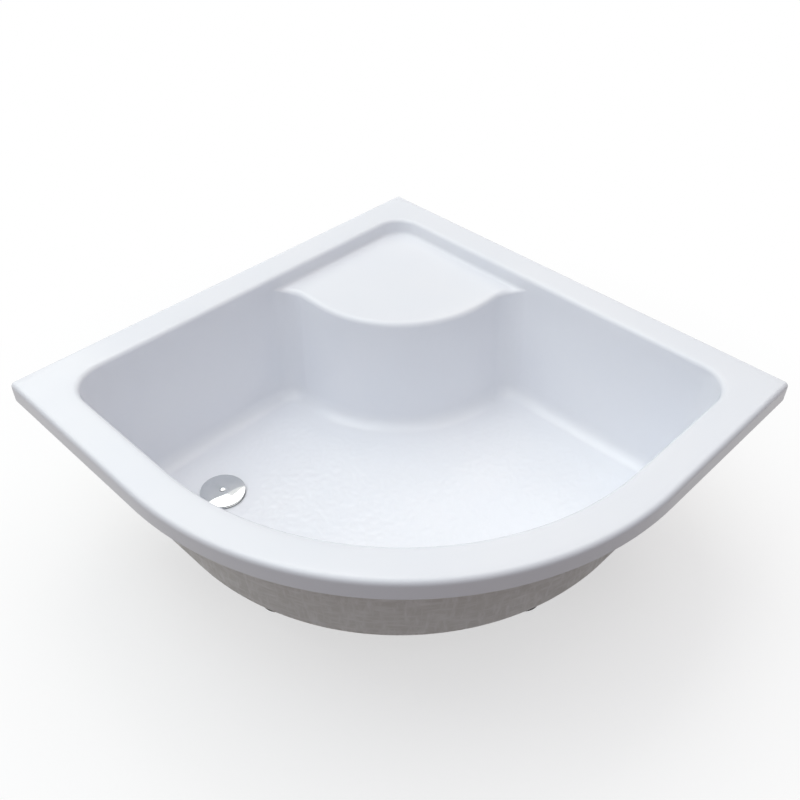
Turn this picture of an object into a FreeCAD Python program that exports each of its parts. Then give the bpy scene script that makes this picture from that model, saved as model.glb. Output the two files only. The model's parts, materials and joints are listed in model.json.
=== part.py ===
import FreeCAD, Part
import math
import os
from FreeCAD import Placement, Rotation, Vector

# A deep quadrant shower tray with a moulded corner seat, on rails with five screw feet.
# Origin on the ground, below the middle of the square plan, with +Z up.
# The straight sides stand against a wall at the back (+Y) and one on the left (-X).
# The curved front faces +X and -Y. All sizes are in millimetres.

# Tray outline and rim
SIDE = 900.0
FRONT_RADIUS = 550.0
RIM_WIDTH = 63.0
LIP_DROP = 35.0
OUTER_CORNER = 8.0
RIM_OUTER_ROUND = 7.0
RIM_INNER_ROUND = 8.0
RIM_UNDER_ROUND = 6.0
SHELL = 5.0

# Basin
BASIN_DEPTH = 258.0
WALL_DRAFT = 7.0
FLOOR_FALL = 0.012
FLOOR_ROUND = 26.0
WALL_CORNER = 52.0
SIDE_CORNER = 62.0

# Corner seat
SEAT_DROP = 30.0
SEAT_REACH = 370.0
SEAT_SHOULDER = 14.3
SEAT_EDGE = 10.0
STEP_ROUND = 8.0
WING_RADIUS = 42.0
WING_BURY = 1.5
WING_FOOT_ROUND = 40.0

# Reinforcing boards bonded under the floor and the seat
BOARD_MIN = 14.0
BOARD_EDGE_GAP = 4.0
BOARD_CORNER = 25.0
SEAT_BOARD = 16.0
BOARD_HOLE_GAP = 12.0
STUD_HOLE_GAP = 3.0
RAIL_HOLE_GAP = 1.0

# Box rails
RAIL_CLEARANCE = 68.0
RAIL_WIDTH = 40.0
RAIL_HEIGHT = 25.0
RAIL_WALL = 2.0
RAIL_ROUND = 3.0
REAR_RAIL_OFFSET = 110.0
REAR_RAIL_SHORT = 10.0
FRONT_RAIL_OFFSET = 150.0
FRONT_RAIL_SHORT = 60.0
RAIL_FOOT_INSET = 45.0
RAIL_SCREW_OUTER = 75.0
RAIL_SCREW_INNER = 125.0
CAP_THICK = 3.0
CAP_PLUG = 12.0
CAP_GAP = 0.2

# Seat post
POST_AT = 175.0
POST_WIDTH = 30.0
POST_WALL = 2.0
POST_PLATE_WIDTH = 90.0
POST_PLATE = 4.0
POST_PLUG_FLANGE = 4.0
POST_PLUG = 26.0
POST_PLUG_GAP = 0.2
PLATE_SCREW_INSET = 14.0

# Wood screws
SCREW_RADIUS = 2.2
SCREW_BITE = 11.0
SCREW_HEAD_RADIUS = 4.5
SCREW_HEAD = 2.6
SCREW_GAP = 0.1
SCREW_ACCESS_GAP = 1.5

# Screw feet
STUD_RADIUS = 6.0
STUD_INTO_RAIL = 16.0
STUD_TIP_CHAMFER = 1.2
THREAD_GAP = 0.2
PIVOT_GAP = 0.08
PIVOT_END_GAP = 0.5
COLLAR_FLATS = 17.0
COLLAR = 8.0
NUT_FLATS = 19.0
RAIL_NUT = 10.0
LOCK_NUT = 7.0
PAD_RADIUS = 30.0
PAD_BASE = 5.0
PAD_HEIGHT = 20.0
PAD_NECK_RADIUS = 13.0
PAD_SOCKET = 12.0
PAD_EDGE_ROUND = 2.0
PAD_RIB = 3.0
PAD_RIB_COUNT = 8

# Waste, seen from above
DRAIN_FROM_EDGE = 224.0
WASTE_HOLE_RADIUS = 31.0
RECESS_RADIUS = 40.0
RECESS_DEPTH = 4.0
FLANGE_RADIUS = 38.0
FLANGE = 3.0
FLANGE_ROUND = 1.0
FLANGE_SEAL = 1.5
SKIRT_RADIUS = 29.8
SKIRT_BORE = 26.5
SKIRT_LENGTH = 26.0
LEDGE_RADIUS = 30.5
LEDGE_DEPTH = 1.5

# Lift-out dip tube with its strainer
TUBE_RADIUS = 24.0
TUBE_BORE = 21.5
TUBE_END_GAP = 12.0
TUBE_RIM_GAP = 0.3
RING_SECTION = 1.5
RING_GAP = 0.15
RING_BELOW_RIM = 14.0
HUB_RADIUS = 7.0
HUB_DEPTH = 8.0
SPOKE = 2.6
SPOKE_COUNT = 6
STRAINER_RING_RADIUS = 14.0
STRAINER_DEPTH = 5.0

# Cover over the waste
COVER_RADIUS = 40.5
COVER_LIFT = 4.0
COVER_EDGE = 2.5
COVER_CROWN = 3.0
COVER_SHEET = 1.8
COVER_LAND = 7.0
STEM_RADIUS = 4.0
STEM_GAP = 0.1
STEM_LENGTH = 7.0
COLLAR_RADIUS = 6.2
KNOB_RADIUS = 6.0
KNOB_HEIGHT = 3.4
KNOB_EDGE = 0.8

# Trap below the tray
BODY_SEAL = 3.0
SEAL_GAP = 0.5
TRAP_FLANGE_RADIUS = 43.0
TRAP_FLANGE = 4.0
TRAP_NECK_WALL = 4.0
TRAP_NECK = 12.0
TRAP_RADIUS = 47.0
TRAP_WALL = 3.0
TRAP_SHOULDER = 4.0
TRAP_DEPTH = 88.0
CUP_RADIUS = 36.0
CUP_WALL = 2.0
CUP_HEIGHT = 51.0
OUTLET_DROP = 43.0
OUTLET_REACH = 92.0
PIPE_RADIUS = 20.0
PIPE_GAP = 0.3
PIPE_ENTRY_GAP = 1.0
SOCKET_LENGTH = 30.0
SOCKET_WALL = 4.0
THROAT_RADIUS = 18.0
OUTLET_SEAL = 4.0
OUTLET_NUT = 20.0
OUTLET_NUT_LIP = 4.0
OUTLET_NUT_WALL = 5.0
OUTLET_NUT_RIB = 1.6
OUTLET_NUT_RIBS = 12

# Sizes that follow from the ones above
OVERRUN = 20.0
TOUCH = 0.01
diagonal = math.sqrt(0.5)
corner_share = 1 - diagonal
draft = math.radians(WALL_DRAFT)
draft_slope = math.tan(draft)
wall_share = 1/math.cos(draft)
round_share = math.tan(math.pi/4 - draft/2)
fall_angle = math.degrees(math.atan(FLOOR_FALL))
drain_left = DRAIN_FROM_EDGE
drain_back = SIDE - DRAIN_FROM_EDGE
rail_low_z = RAIL_CLEARANCE
board_low_z = rail_low_z + RAIL_HEIGHT
floor_z = board_low_z + BOARD_MIN + SHELL
rim_z = floor_z + BASIN_DEPTH
rail_nut_low_z = rail_low_z - RAIL_NUT
lock_nut_low_z = rail_nut_low_z - LOCK_NUT
stud_top_z = rail_low_z + STUD_INTO_RAIL
recess_z = floor_z - RECESS_DEPTH
boss_z = recess_z - SHELL
flange_low_z = recess_z + FLANGE_SEAL
flange_top_z = flange_low_z + FLANGE
ledge_z = flange_top_z - LEDGE_DEPTH
trap_top_z = boss_z - BODY_SEAL
trap_neck_z = trap_top_z - TRAP_FLANGE
trap_shoulder_z = trap_neck_z - TRAP_NECK
trap_bore = SKIRT_RADIUS + THREAD_GAP
chamber_radius = TRAP_RADIUS - TRAP_WALL
trap_low_z = trap_top_z - TRAP_DEPTH
chamber_low_z = trap_low_z + TRAP_WALL
cup_top_z = chamber_low_z + CUP_HEIGHT
outlet_z = trap_top_z - OUTLET_DROP
chamber_high_z = trap_shoulder_z - TRAP_SHOULDER
tube_low_z = chamber_low_z + TUBE_END_GAP
ring_z = ledge_z - RING_BELOW_RIM
ring_middle = SKIRT_BORE - RING_GAP - RING_SECTION
cover_edge_z = floor_z + COVER_LIFT
cover_top_z = cover_edge_z + COVER_EDGE + COVER_CROWN
socket_radius = PIPE_RADIUS + PIPE_GAP
entry_radius = PIPE_RADIUS + PIPE_ENTRY_GAP
spigot_radius = socket_radius + SOCKET_WALL
outlet_end = OUTLET_REACH + OUTLET_SEAL + OUTLET_NUT_LIP
seat_board_low_z = rim_z - SEAT_DROP - SHELL - SEAT_BOARD
post_top_z = seat_board_low_z - POST_PLATE
post_low_z = rail_nut_low_z + POST_PLUG_FLANGE
seat_low_depth = BASIN_DEPTH + SHELL + 2*OVERRUN
seat_centre = RIM_WIDTH + seat_low_depth*draft_slope - WING_BURY + WING_RADIUS + SEAT_SHOULDER


def plan(left, back, z):
    """Point at a distance from the left wall, from the back wall and above the ground."""
    return Vector(left - SIDE/2, SIDE/2 - back, z)


def rounded_square(low, high, radii, z):
    """Outline in plan from low to high off both walls, with a radius at each corner.

    The corners are the one between the walls, the right end, the front and the left end.
    """
    corners = ((low, low, 1, 1), (high, low, -1, 1), (high, high, -1, -1), (low, high, 1, -1))
    arcs = []
    for index, (left, back, inward, onward) in enumerate(corners):
        radius = radii[index]
        beside = plan(left, back + onward*radius, z)
        beyond = plan(left + inward*radius, back, z)
        inside = radius*corner_share
        middle = plan(left + inward*inside, back + onward*inside, z)
        start, end = (beside, beyond) if index % 2 == 0 else (beyond, beside)
        arcs.append(Part.Arc(start, middle, end))
    edges = []
    for index, arc in enumerate(arcs):
        following = arcs[(index + 1) % len(arcs)]
        edges.append(arc.toShape())
        edges.append(Part.LineSegment(arc.EndPoint, following.StartPoint).toShape())
    return Part.Wire(edges)


def slab(wire, height):
    """Solid of a flat outline carried up, or down, by a height."""
    return Part.Face(wire).extrude(Vector(0, 0, height))


def dome_middle(start, end):
    """Point halfway along an arc between two points, with its centre on the upright axis."""
    centre_z = (start.z**2 - end.z**2 + start.x**2 - end.x**2)/(2*(start.z - end.z))
    radius = math.hypot(start.x, start.z - centre_z)
    middle = (start.x + end.x)/2
    return Vector(middle, 0, centre_z + math.sqrt(radius**2 - middle**2))


def turned(points, left, back, domes=()):
    """Solid turned about an upright axis from a closed outline of radius and height.

    The sides of the outline whose numbers are in domes are arcs, and the others are straight.
    """
    corners = [Vector(radius, 0, z) for radius, z in points]
    edges = []
    for index, start in enumerate(corners):
        end = corners[(index + 1) % len(corners)]
        if index in domes:
            edges.append(Part.Arc(start, dome_middle(start, end), end).toShape())
        else:
            edges.append(Part.LineSegment(start, end).toShape())
    solid = Part.Face(Part.Wire(edges)).revolve(Vector(), Vector(0, 0, 1), 360)
    solid.translate(plan(left, back, 0))
    return solid


def ring(inner, outer, low, high, left, back):
    """Flat ring about an upright axis."""
    return turned([(inner, low), (outer, low), (outer, high), (inner, high)], left, back)


def rod(radius, low, high, left, back):
    """Upright cylinder between two heights."""
    return Part.makeCylinder(radius, high - low, plan(left, back, low))


def hexagon(flats, low, high, left, back):
    """Six-sided prism by its width across flats."""
    corner = flats/2/math.cos(math.pi/6)
    turns = [math.pi/3*step for step in range(7)]
    centre = plan(left, back, low)
    points = [centre + Vector(corner*math.cos(turn), corner*math.sin(turn), 0) for turn in turns]
    return slab(Part.makePolygon(points), high - low)


def edge_points(edge):
    first, last = edge.ParameterRange
    return [edge.valueAt(first + (last - first)*step/4) for step in range(5)]


def edges_where(shape, test):
    """Edges whose points all pass a test of distance off each wall and depth below the rim."""
    chosen = []
    for edge in shape.Edges:
        points = [(p.x + SIDE/2, SIDE/2 - p.y, rim_z - p.z) for p in edge_points(edge)]
        if all(test(*point) for point in points):
            chosen.append(edge)
    return chosen


def wall_inset(depth, grow):
    """Distance from the tray's edge to the basin wall, with the wall moved out by grow."""
    return RIM_WIDTH + depth*draft_slope - grow*wall_share


def seat_reach(depth, grow):
    """Distance from a wall to the seat's front at a depth below the rim."""
    return SEAT_REACH + (depth - SEAT_DROP)*draft_slope - grow*wall_share


def basin_outline(depth, grow):
    inset = wall_inset(depth, grow)
    shrink = inset - RIM_WIDTH
    side_radius = SIDE_CORNER - shrink
    radii = (WALL_CORNER - shrink, side_radius, FRONT_RADIUS - inset, side_radius)
    return rounded_square(inset, SIDE - inset, radii, rim_z - depth)


def seat_bulge(depth, grow):
    """Distance off both walls of the foremost point of the seat's front."""
    return seat_centre + (seat_reach(depth, grow) - seat_centre)*diagonal


def seat_outline(depth, grow):
    """Outline of the seat: its front bulges, and runs out along each wall in a hollow wing."""
    z = rim_z - depth
    reach = seat_reach(depth, grow)
    bulge = seat_bulge(depth, grow)
    wing = WING_RADIUS + grow
    tangent = wall_inset(depth, grow) - WING_BURY
    middle = wing*corner_share
    tip = reach + wing
    right = [(tip, 0), (tip, tangent), (reach + middle, tangent + middle), (reach, tangent + wing)]
    right_end, right_tip, right_wing, right_start = [plan(left, back, z) for left, back in right]
    left_end, left_tip, left_wing, left_start = [plan(left, back, z) for back, left in right]
    front_right = plan(reach, seat_centre, z)
    front_left = plan(seat_centre, reach, z)
    corner = plan(0, 0, z)
    curves = [Part.LineSegment(corner, right_end), Part.LineSegment(right_end, right_tip)]
    curves += [Part.Arc(right_tip, right_wing, right_start), Part.LineSegment(right_start, front_right)]
    curves += [Part.Arc(front_right, plan(bulge, bulge, z), front_left)]
    curves += [Part.LineSegment(front_left, left_start), Part.Arc(left_start, left_wing, left_tip)]
    curves += [Part.LineSegment(left_tip, left_end), Part.LineSegment(left_end, corner)]
    return Part.Wire([curve.toShape() for curve in curves])


def above_floor(grow):
    """Space above the sloping floor plane, lowered by grow, that falls towards the waste."""
    reach = 4*SIDE
    space = Part.makeBox(reach, reach, reach, Vector(-reach/2, -reach/2, 0))
    lowest = plan(drain_left, drain_back, floor_z - grow)
    space.Placement = Placement(lowest, Rotation(Vector(1, -1, 0), fall_angle))
    return space


def on_back_wall(left, back, depth, grow):
    """Whether a point lies on the two straight walls or on the corner between them."""
    inset = wall_inset(depth, grow)
    radius = WALL_CORNER + RIM_WIDTH - inset
    if max(left, back) < inset + radius:
        return abs(math.hypot(left - inset - radius, back - inset - radius) - radius) < TOUCH
    return min(abs(left - inset), abs(back - inset)) < TOUCH


def round_step(solid, grow):
    """Round the seat's step into the walls, ever wider where the wings run down them."""
    seat_depth = SEAT_DROP + grow

    def along_seat(left, back, depth):
        beside = max(left, back) < seat_reach(depth, grow) + WING_RADIUS
        return beside and depth > seat_depth - TOUCH and on_back_wall(left, back, depth, grow)

    def radius_at(point):
        by_seat = rim_z - point.z < seat_depth + 2*SEAT_EDGE
        return STEP_ROUND if by_seat else WING_FOOT_ROUND + grow

    step_edges = edges_where(solid, along_seat)
    radii = []
    for number, edge in enumerate(solid.Edges, 1):
        if any(edge.isSame(step) for step in step_edges):
            ends = edge_points(edge)
            radii.append((number, radius_at(ends[0]), radius_at(ends[-1])))
    document = FreeCAD.newDocument()
    sharp = document.addObject("Part::Feature", "Sharp")
    sharp.Shape = solid
    rounded = document.addObject("Part::Fillet", "Rounded")
    rounded.Base = sharp
    rounded.Edges = radii
    document.recompute()
    result = rounded.Shape.Solids[0]
    FreeCAD.closeDocument(document.Name)
    return result


def left_half():
    """Everything on the left of the upright plane through the seat's middle."""
    reach = 2*SIDE
    half = Part.makeBox(reach, reach, reach, Vector(-reach, -reach/2, -reach/2))
    half.Placement = Placement(Vector(), Rotation(Vector(0, 0, 1), 45))
    return half


def basin_walls(grow, top_depth):
    """The space between the basin's walls and the seat, made as two mirrored halves."""
    low_depth = BASIN_DEPTH + grow + OVERRUN
    seat_depth = SEAT_DROP + grow
    walls = Part.makeLoft([basin_outline(top_depth, grow), basin_outline(low_depth, grow)], True, True)
    seat = Part.makeLoft([seat_outline(seat_depth, grow), seat_outline(seat_low_depth, grow)], True, True)
    half = walls.cut(seat).common(left_half()).Solids[0]

    def seat_front_edge(left, back, depth):
        on_front = back - left > TOUCH or left > seat_bulge(seat_depth, grow) - TOUCH
        on_top = abs(depth - seat_depth) < TOUCH
        return on_front and on_top and not on_back_wall(left, back, depth, grow)

    half = half.makeFillet(SEAT_EDGE - grow, edges_where(half, seat_front_edge)).Solids[0]
    half = round_step(half, grow)
    return half.fuse(half.mirror(Vector(), Vector(1, 1, 0))).removeSplitter()


def basin_space(grow, top_depth):
    """The space inside the basin, with every face moved out by grow."""
    space = basin_walls(grow, top_depth).common(above_floor(grow)).Solids[0]

    def floor_edge(left, back, depth):
        rise = FLOOR_FALL*((left - drain_left) - (back - drain_back))*diagonal
        return abs(BASIN_DEPTH + grow - rise - depth) < 5*TOUCH

    return space.makeFillet(FLOOR_ROUND + grow, edges_where(space, floor_edge)).Solids[0]


def rim_plate():
    """Flat rim with a lip turned down round its outside, still closed over the basin."""
    radii = (OUTER_CORNER, OUTER_CORNER, FRONT_RADIUS, OUTER_CORNER)
    outside = slab(rounded_square(0, SIDE, radii, rim_z), -LIP_DROP)
    top_edges = edges_where(outside, lambda left, back, depth: abs(depth) < TOUCH)
    outside = outside.makeFillet(RIM_OUTER_ROUND, top_edges)
    inner_radii = [radius - SHELL for radius in radii]
    inside = slab(rounded_square(SHELL, SIDE - SHELL, inner_radii, rim_z - SHELL), -LIP_DROP)
    return outside.cut(inside)


def tray_shell():
    boss = rod(RECESS_RADIUS + SHELL, boss_z, floor_z, drain_left, drain_back)
    shell = rim_plate().fuse([basin_space(SHELL, SHELL/2), boss])
    shell = shell.cut(basin_space(0, -OVERRUN))
    shell = shell.cut(rod(RECESS_RADIUS, recess_z, rim_z, drain_left, drain_back))
    shell = shell.cut(rod(WASTE_HOLE_RADIUS, boss_z - OVERRUN, rim_z, drain_left, drain_back))
    shell = shell.Solids[0]

    def inner_edge(level):
        middle = RIM_WIDTH/2
        centre = SIDE - FRONT_RADIUS

        def test(left, back, depth):
            front = math.hypot(max(left - centre, 0), max(back - centre, 0))
            inside = min(left, back) > middle and front < FRONT_RADIUS - middle
            return inside and abs(depth - level) < TOUCH
        return test

    shell = shell.makeFillet(RIM_INNER_ROUND, edges_where(shell, inner_edge(0)))
    return shell.makeFillet(RIM_UNDER_ROUND, edges_where(shell, inner_edge(SHELL))).Solids[0]


# Places of the boards and rails
floor_depth = BASIN_DEPTH + SHELL
floor_margin = (FLOOR_ROUND + SHELL)*round_share + BOARD_EDGE_GAP
board_inset = wall_inset(floor_depth, SHELL) + floor_margin
board_reach = seat_reach(floor_depth, SHELL) + floor_margin
board_hollow_radius = board_reach - seat_centre
board_hole_radius = RECESS_RADIUS + SHELL + BOARD_HOLE_GAP
waste_offset = (SIDE/2 - DRAIN_FROM_EDGE)/diagonal
rear_rail_mid = SIDE/2 - REAR_RAIL_OFFSET*diagonal
rear_rail_length = 2*(waste_offset - REAR_RAIL_SHORT)
front_rail_mid = SIDE/2 + FRONT_RAIL_OFFSET*diagonal
front_rail_length = 2*(waste_offset - FRONT_RAIL_SHORT)
rails = {"rear": (rear_rail_mid, rear_rail_length), "front": (front_rail_mid, front_rail_length)}


def along_rail(middle, offset):
    """Distances off the walls of a point on a rail, from its middle towards its right end."""
    step = offset*diagonal
    return middle + step, middle - step


def rail_screw_offsets(length):
    insets = (RAIL_SCREW_OUTER, RAIL_SCREW_INNER)
    return [side*(length/2 - inset) for side in (-1, 1) for inset in insets]


def rail_screw_places():
    places = []
    for middle, length in rails.values():
        places += [along_rail(middle, offset) for offset in rail_screw_offsets(length)]
    return places


def rail_foot_places():
    """Where the screw feet stand under the rails, by name."""
    places = {}
    for name, (middle, length) in rails.items():
        reach = length/2 - RAIL_FOOT_INSET
        places[name + "_left"] = along_rail(middle, -reach)
        places[name + "_right"] = along_rail(middle, reach)
    return places


def foot_places():
    return {**rail_foot_places(), "seat": (POST_AT, POST_AT)}


def plate_screw_places():
    reach = POST_PLATE_WIDTH/2 - PLATE_SCREW_INSET
    return [(POST_AT + side*reach, POST_AT + end*reach) for side in (-1, 1) for end in (-1, 1)]


def floor_board():
    """Board under the floor: level below, and sloping above to meet the floor's underside."""
    radii = (BOARD_CORNER, BOARD_CORNER, FRONT_RADIUS - board_inset, BOARD_CORNER)
    board = slab(rounded_square(board_inset, SIDE - board_inset, radii, board_low_z), BASIN_DEPTH)
    board = board.cut(above_floor(SHELL))
    hollow_radii = (BOARD_CORNER, BOARD_CORNER, board_hollow_radius, BOARD_CORNER)
    hollow = slab(rounded_square(0, board_reach, hollow_radii, 0), rim_z)
    holes = [hollow, rod(board_hole_radius, 0, rim_z, drain_left, drain_back)]
    for left, back in rail_foot_places().values():
        holes.append(rod(STUD_RADIUS + STUD_HOLE_GAP, 0, rim_z, left, back))
    for left, back in rail_screw_places():
        top = board_low_z + SCREW_BITE + SCREW_GAP
        holes.append(rod(SCREW_RADIUS + SCREW_GAP, board_low_z, top, left, back))
    return board.cut(holes).Solids[0]


def seat_board():
    depth = SEAT_DROP + SHELL
    inset = wall_inset(depth, SHELL) + STEP_ROUND*round_share + BOARD_EDGE_GAP
    reach = seat_reach(depth, SHELL) - (SEAT_EDGE - SHELL)*round_share - BOARD_EDGE_GAP
    radii = (BOARD_CORNER, BOARD_CORNER, reach - seat_centre, BOARD_CORNER)
    board = slab(rounded_square(inset, reach, radii, rim_z - depth), -SEAT_BOARD)
    low = rim_z - depth - SEAT_BOARD
    top = low + SCREW_BITE + SCREW_GAP
    holes = [rod(SCREW_RADIUS + SCREW_GAP, low, top, *place) for place in plate_screw_places()]
    return board.cut(holes).Solids[0]


def wood_screw(left, back, seat_z, sheet):
    """Pan-head screw that goes up through a sheet, with its head's flat face at seat_z."""
    crown = SCREW_HEAD_RADIUS - SCREW_HEAD/2
    tip_z = seat_z + sheet + SCREW_BITE
    outline = [(0, seat_z - SCREW_HEAD), (crown, seat_z - SCREW_HEAD)]
    outline += [(SCREW_HEAD_RADIUS, seat_z - SCREW_HEAD/2), (SCREW_HEAD_RADIUS, seat_z)]
    outline += [(SCREW_RADIUS, seat_z), (SCREW_RADIUS, tip_z - SCREW_RADIUS), (0, tip_z)]
    return turned(outline, left, back)


def rail_screws():
    seat_z = board_low_z - RAIL_WALL
    return Part.makeCompound([wood_screw(*place, seat_z, RAIL_WALL) for place in rail_screw_places()])


def plate_screws():
    seat_z = post_top_z
    return Part.makeCompound([wood_screw(*place, seat_z, POST_PLATE) for place in plate_screw_places()])


def bar(length, width, height, corner):
    """Bar along X with rounded long edges, centred in plan, standing on its own base plane."""
    solid = Part.makeBox(length, width, height, Vector(-length/2, -width/2, 0))
    if corner > 0:
        long_edges = [edge for edge in solid.Edges if abs(edge.Length - length) < TOUCH]
        solid = solid.makeFillet(corner, long_edges)
    return solid


def set_on_rail(solid, middle, z):
    """Turn a piece made along X into a rail's direction and set its middle on the diagonal."""
    placed = solid.copy()
    placed.Placement = Placement(plan(middle, middle, z), Rotation(Vector(0, 0, 1), 45))
    return placed


def box_rail(middle, length):
    """Box rail with holes for its feet and for its screws and their driver."""
    hollow_width = RAIL_WIDTH - 2*RAIL_WALL
    hollow_height = RAIL_HEIGHT - 2*RAIL_WALL
    outside = bar(length, RAIL_WIDTH, RAIL_HEIGHT, RAIL_ROUND)
    inside = bar(length + 2*OVERRUN, hollow_width, hollow_height, RAIL_ROUND - RAIL_WALL)
    inside.translate(Vector(0, 0, RAIL_WALL))
    rail = set_on_rail(outside.cut(inside), middle, rail_low_z)
    holes = []
    foot_reach = length/2 - RAIL_FOOT_INSET
    for offset in (-foot_reach, foot_reach):
        place = along_rail(middle, offset)
        holes.append(rod(STUD_RADIUS + RAIL_HOLE_GAP, rail_low_z, board_low_z, *place))
    for offset in rail_screw_offsets(length):
        place = along_rail(middle, offset)
        holes.append(rod(SCREW_RADIUS + SCREW_GAP, rail_low_z, board_low_z, *place))
        access_top = rail_low_z + RAIL_HEIGHT/2
        holes.append(rod(SCREW_HEAD_RADIUS + SCREW_ACCESS_GAP, rail_low_z, access_top, *place))
    return rail.cut(holes).Solids[0]


def rail_end_caps():
    """Plastic caps with plugs, one pressed into each end of both rails."""
    plug_width = RAIL_WIDTH - 2*RAIL_WALL - 2*CAP_GAP
    plug_height = RAIL_HEIGHT - 2*RAIL_WALL - 2*CAP_GAP
    caps = []
    for middle, length in rails.values():
        for side in (-1, 1):
            cap = bar(CAP_THICK, RAIL_WIDTH, RAIL_HEIGHT, RAIL_ROUND)
            cap.translate(Vector(side*(length + CAP_THICK)/2, 0, 0))
            plug = bar(CAP_PLUG + CAP_THICK, plug_width, plug_height, RAIL_ROUND - RAIL_WALL)
            plug.translate(Vector(side*(length + CAP_THICK - CAP_PLUG)/2, 0, RAIL_WALL + CAP_GAP))
            caps.append(set_on_rail(cap.fuse(plug).Solids[0], middle, rail_low_z))
    return Part.makeCompound(caps)


def nut(low, high, left, back):
    body = hexagon(NUT_FLATS, low, high, left, back)
    return body.cut(rod(STUD_RADIUS + THREAD_GAP, low, high, left, back)).Solids[0]


def rail_nuts():
    places = rail_foot_places().values()
    return Part.makeCompound([nut(rail_nut_low_z, rail_low_z, *place) for place in places])


def lock_nuts():
    places = foot_places().values()
    return Part.makeCompound([nut(lock_nut_low_z, rail_nut_low_z, *place) for place in places])


def square_bar(side, low, high, left, back):
    """Upright square bar between two heights."""
    corner = plan(left, back, low) - Vector(side/2, side/2, 0)
    return Part.makeBox(side, side, high - low, corner)


def seat_post():
    tube = square_bar(POST_WIDTH, post_low_z, post_top_z, POST_AT, POST_AT)
    uprights = [edge for edge in tube.Edges if edge.BoundBox.ZLength > POST_WIDTH]
    tube = tube.makeFillet(RAIL_ROUND, uprights)
    bore = square_bar(POST_WIDTH - 2*POST_WALL, post_low_z, post_top_z, POST_AT, POST_AT)
    return tube.cut(bore).Solids[0]


def seat_post_plate():
    plate = square_bar(POST_PLATE_WIDTH, post_top_z, seat_board_low_z, POST_AT, POST_AT)
    uprights = [edge for edge in plate.Edges if edge.BoundBox.ZLength > POST_PLATE/2]
    plate = plate.makeFillet(PLATE_SCREW_INSET/2, uprights)
    holes = [rod(SCREW_RADIUS + SCREW_GAP, post_top_z, seat_board_low_z, *place)
             for place in plate_screw_places()]
    return plate.cut(holes).Solids[0]


def seat_post_plug():
    """Threaded plug that closes the foot of the seat post."""
    side = POST_WIDTH - 2*POST_WALL - 2*POST_PLUG_GAP
    flange = square_bar(POST_WIDTH, rail_nut_low_z, post_low_z, POST_AT, POST_AT)
    plug = square_bar(side, rail_nut_low_z, post_low_z + POST_PLUG, POST_AT, POST_AT)
    bore = rod(STUD_RADIUS + THREAD_GAP, rail_nut_low_z, post_top_z, POST_AT, POST_AT)
    return flange.fuse(plug).cut(bore).Solids[0]


def foot_pad(left, back):
    """Round pad with a hollow neck and ribs that run down from the neck to its base."""
    shoulder = PAD_NECK_RADIUS + PAD_RIB
    socket = STUD_RADIUS + PIVOT_GAP
    socket_z = PAD_HEIGHT - PAD_SOCKET
    outline = [(0, 0), (PAD_RADIUS - PAD_EDGE_ROUND, 0), (PAD_RADIUS, PAD_EDGE_ROUND)]
    outline += [(PAD_RADIUS, PAD_BASE - PAD_EDGE_ROUND), (PAD_RADIUS - PAD_EDGE_ROUND, PAD_BASE)]
    outline += [(shoulder, PAD_BASE), (PAD_NECK_RADIUS, PAD_HEIGHT)]
    outline += [(socket, PAD_HEIGHT), (socket, socket_z), (0, socket_z)]
    pad = turned(outline, left, back)
    toe = PAD_RADIUS - 2*PAD_EDGE_ROUND
    heel = socket + PAD_RIB/2
    rib_outline = [(heel, PAD_BASE/2), (toe, PAD_BASE/2), (toe, PAD_BASE)]
    rib_outline += [(PAD_NECK_RADIUS, PAD_HEIGHT - PAD_RIB), (heel, PAD_HEIGHT - PAD_RIB)]
    corners = [Vector(radius, -PAD_RIB/2, z) for radius, z in rib_outline]
    rib = Part.Face(Part.makePolygon(corners + corners[:1])).extrude(Vector(0, PAD_RIB, 0))
    ribs = []
    for step in range(PAD_RIB_COUNT):
        turn = Rotation(Vector(0, 0, 1), 360*step/PAD_RIB_COUNT)
        ribs.append(rib.copy())
        ribs[-1].Placement = Placement(plan(left, back, 0), turn)
    return pad.fuse(ribs).Solids[0]


def foot_stud(left, back):
    """Levelling stud with a hexagon for a spanner and a plain end that turns in its pad."""
    tip = STUD_RADIUS - STUD_TIP_CHAMFER
    end_z = PAD_HEIGHT - PAD_SOCKET + PIVOT_END_GAP
    outline = [(0, end_z), (tip, end_z), (STUD_RADIUS, end_z + STUD_TIP_CHAMFER)]
    outline += [(STUD_RADIUS, stud_top_z - STUD_TIP_CHAMFER), (tip, stud_top_z), (0, stud_top_z)]
    collar = hexagon(COLLAR_FLATS, PAD_HEIGHT, PAD_HEIGHT + COLLAR, left, back)
    return turned(outline, left, back).fuse(collar).Solids[0]


def waste_flange():
    """Flange with a ledge for the dip tube and a skirt that screws into the trap."""
    skirt_z = flange_low_z - SKIRT_LENGTH
    outline = [(SKIRT_BORE, skirt_z), (SKIRT_RADIUS, skirt_z), (SKIRT_RADIUS, flange_low_z)]
    outline += [(FLANGE_RADIUS, flange_low_z), (FLANGE_RADIUS, flange_top_z - FLANGE_ROUND)]
    outline += [(FLANGE_RADIUS - FLANGE_ROUND, flange_top_z), (LEDGE_RADIUS, flange_top_z)]
    outline += [(LEDGE_RADIUS, ledge_z), (SKIRT_BORE, ledge_z)]
    return turned(outline, drain_left, drain_back)


def flange_seal():
    outer = FLANGE_RADIUS - SEAL_GAP
    return ring(WASTE_HOLE_RADIUS + SEAL_GAP, outer, recess_z, flange_low_z, drain_left, drain_back)


def body_seal():
    outer = TRAP_FLANGE_RADIUS - SEAL_GAP
    return ring(WASTE_HOLE_RADIUS + SEAL_GAP, outer, trap_top_z, boss_z, drain_left, drain_back)


def outlet_rod(radius, start, end):
    """Rod along the outlet, between two distances from the waste's axis."""
    base = plan(drain_left - start, drain_back, outlet_z)
    return Part.makeCylinder(radius, end - start, base, Vector(-1, 0, 0))


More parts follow.
